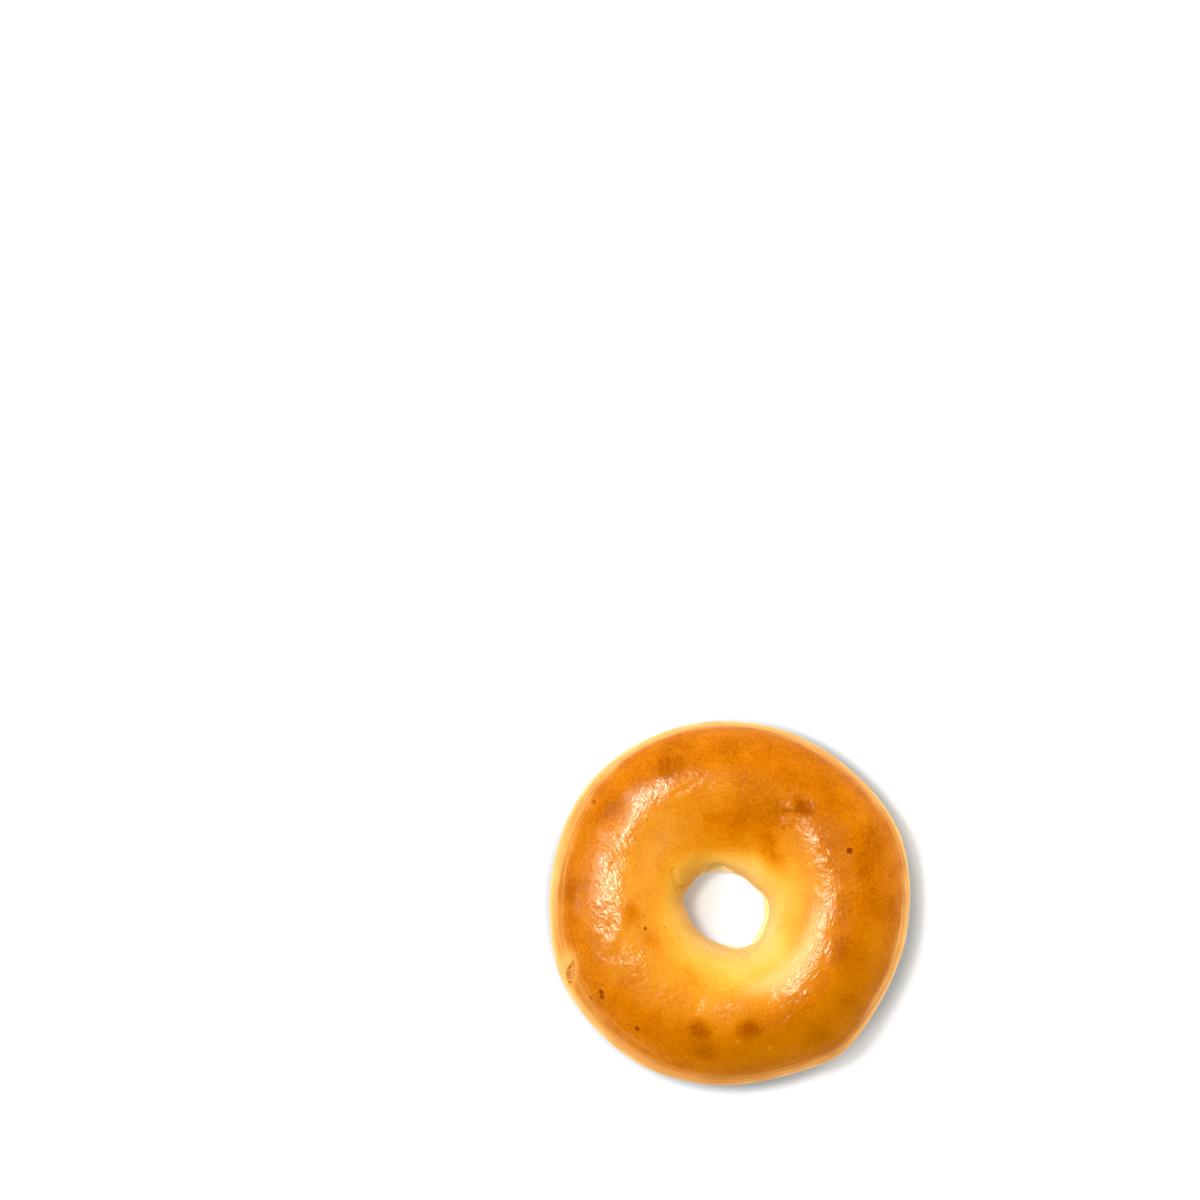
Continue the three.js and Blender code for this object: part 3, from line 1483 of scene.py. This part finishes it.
@dataclass(frozen=True)
class Softbox:
    """One soft light that hangs over the table and faces the bagel.

    `azimuth` is the side that it hangs on and `lean` its angle from straight overhead. `distance`
    and `size` are metres, and a face with `brightness` 1 is as bright as white paper.
    """

    name: str
    azimuth: float
    lean: float
    distance: float
    size: tuple[float, float]
    brightness: float

    def hang(self) -> None:
        """Adds the light to the scene."""
        turn, tilt = math.radians(self.azimuth), math.radians(self.lean)
        across = math.sin(tilt)
        way = Vector((math.cos(turn) * across, math.sin(turn) * across, math.cos(tilt)))
        data = bpy.data.lights.new(self.name, "AREA")
        data.shape = "RECTANGLE"
        data.size, data.size_y = self.size
        data.energy = self.brightness * math.pi * self.size[0] * self.size[1]
        lamp = bpy.data.objects.new(self.name, data)
        lamp.location = way * self.distance
        lamp.rotation_mode = "QUATERNION"
        lamp.rotation_quaternion = way.to_track_quat("Z", "Y")
        bpy.context.scene.collection.objects.link(lamp)


@dataclass(frozen=True)
class Studio:
    """Table, lights, surroundings and camera."""

    picture: float = 362.0
    picture_middle: tuple[float, float] = (-39.1, 91.4)
    focus_height: float = 15.0
    lens: float = 800.0
    sensor: float = 36.0
    table: float = 6000.0
    table_colour: Colour = (0.83, 0.86, 0.91)
    table_glow: float = 0.9
    glow_tint: Colour = (0.75, 1.0, 1.3)
    hole_edge: tuple[float, float] = (18.0, 15.0)
    shadow_colour: Colour = (0.5, 0.56, 0.64)
    shadow_middle: Spot = Spot(0.6, -0.4)
    shadow_edge: tuple[float, float] = (59.0, 53.8)
    black: float = 0.012
    softboxes: tuple[Softbox, ...] = (
        Softbox("overhead", 160.0, 15.5, 3.0, (0.8, 0.58), 12.5),
        Softbox("overhead core", 160.0, 15.5, 2.9, (0.38, 0.28), 62.0),
        Softbox("key", 160.0, 36.0, 3.0, (1.6, 1.3), 4.3),
    )

    def build(self) -> None:
        """Sets everything up."""
        self._table()
        self._surroundings()
        for softbox in self.softboxes:
            softbox.hang()
        self._camera()
        self._develop()

    def _table(self) -> None:
        """Lays a pale table that glows a little, with a painted shadow round the bagel."""
        bpy.ops.object.select_all(action="DESELECT")
        bpy.ops.mesh.primitive_plane_add(size=self.table * MM)
        top = bpy.context.active_object
        top.name = "table"
        paint = bpy.data.materials.new("pale table")
        paint.use_nodes = True
        paint.node_tree.nodes.clear()
        bench = Bench(paint.node_tree)
        place = RingPlace(bench, bench.out("ShaderNodeTexCoord", None, None, "Object"))

        def away(middle: Spot) -> Field:
            """Distance from a spot of the table."""
            aside, along = place.x - middle.x, place.y - middle.y
            return bench.math("SQRT", aside * aside + along * along)

        # Painted light: the table glows more inside the hole, most towards its right.
        inside = away(HOLE_MIDDLE).step(*self.hole_edge)
        # Painted shadow: a greyer ring round the bagel, which also glows a little less.
        shade = away(self.shadow_middle).step(*self.shadow_edge) * (1 - inside)
        glow = inside * place.x.step(-16.0, 6.0) * 0.25 + shade * -0.08 + 0.14
        shader = bench.out(
            "ShaderNodeBsdfPrincipled",
            None,
            {
                "Base Color": bench.mix(shade, self.table_colour, self.shadow_colour),
                "Roughness": 0.9,
                "Specular IOR Level": 0.1,
                "Emission Color": bench.vector(*(glow * part for part in self.glow_tint)),
                "Emission Strength": self.table_glow,
            },
        )
        bench.node("ShaderNodeOutputMaterial", None, {"Surface": shader})
        top.data.materials.append(paint)

    def _surroundings(self) -> None:
        """Makes the room: bright low down and dim overhead, and lighter to the right and behind."""
        world = bpy.data.worlds.new("room")
        bpy.context.scene.world = world
        world.use_nodes = True
        world.node_tree.nodes.clear()
        bench = Bench(world.node_tree)
        way = bench.out("ShaderNodeTexCoord", None, None, "Generated")
        east, north, up = bench.split(way)
        light = bench.out(
            "ShaderNodeValToRGB",
            {
                "stops": (
                    (0.0, (1.05, 1.05, 1.05)),
                    (0.5, (0.8, 0.8, 0.8)),
                    (0.75, (0.34, 0.34, 0.34)),
                    (1.0, (0.14, 0.14, 0.14)),
                )
            },
            {"Fac": up},
        )
        side = 1.33 + east * 0.4 + north * 0.45
        shader = bench.out("ShaderNodeBackground", None, {"Color": light, "Strength": side})
        bench.node("ShaderNodeOutputWorld", None, {"Surface": shader})

    def _develop(self) -> None:
        """Sets the picture's tones: true colours, with the darkest ones taken to black."""
        view = bpy.context.scene.view_settings
        view.view_transform = "Standard"
        view.use_curve_mapping = True
        view.curve_mapping.black_level = (self.black, self.black, self.black)

    def _camera(self) -> None:
        """Hangs the camera over the table, looking straight down."""
        data = bpy.data.cameras.new("camera")
        data.lens, data.sensor_width = self.lens, self.sensor
        height = self.picture * self.lens / self.sensor + self.focus_height
        data.clip_start, data.clip_end = 0.1, 100.0
        camera = bpy.data.objects.new("camera", data)
        camera.location = Vector((*self.picture_middle, height)) * MM
        bpy.context.scene.collection.objects.link(camera)
        bpy.context.scene.camera = camera


def main() -> None:
    """Builds the crust, its finish and the studio, in that order."""
    logging.basicConfig(level=logging.INFO, format="%(name)s: %(message)s")
    crust = DoughRing().build()
    crust.mesh.materials.append(BakedCrust().material())
    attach(crust.obj, BODY)
    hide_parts(NODE)
    log.info("crust: %d faces", len(crust.mesh.polygons))
    Studio().build()
    log.info("studio ready")


if __name__ == "__main__":
    main()
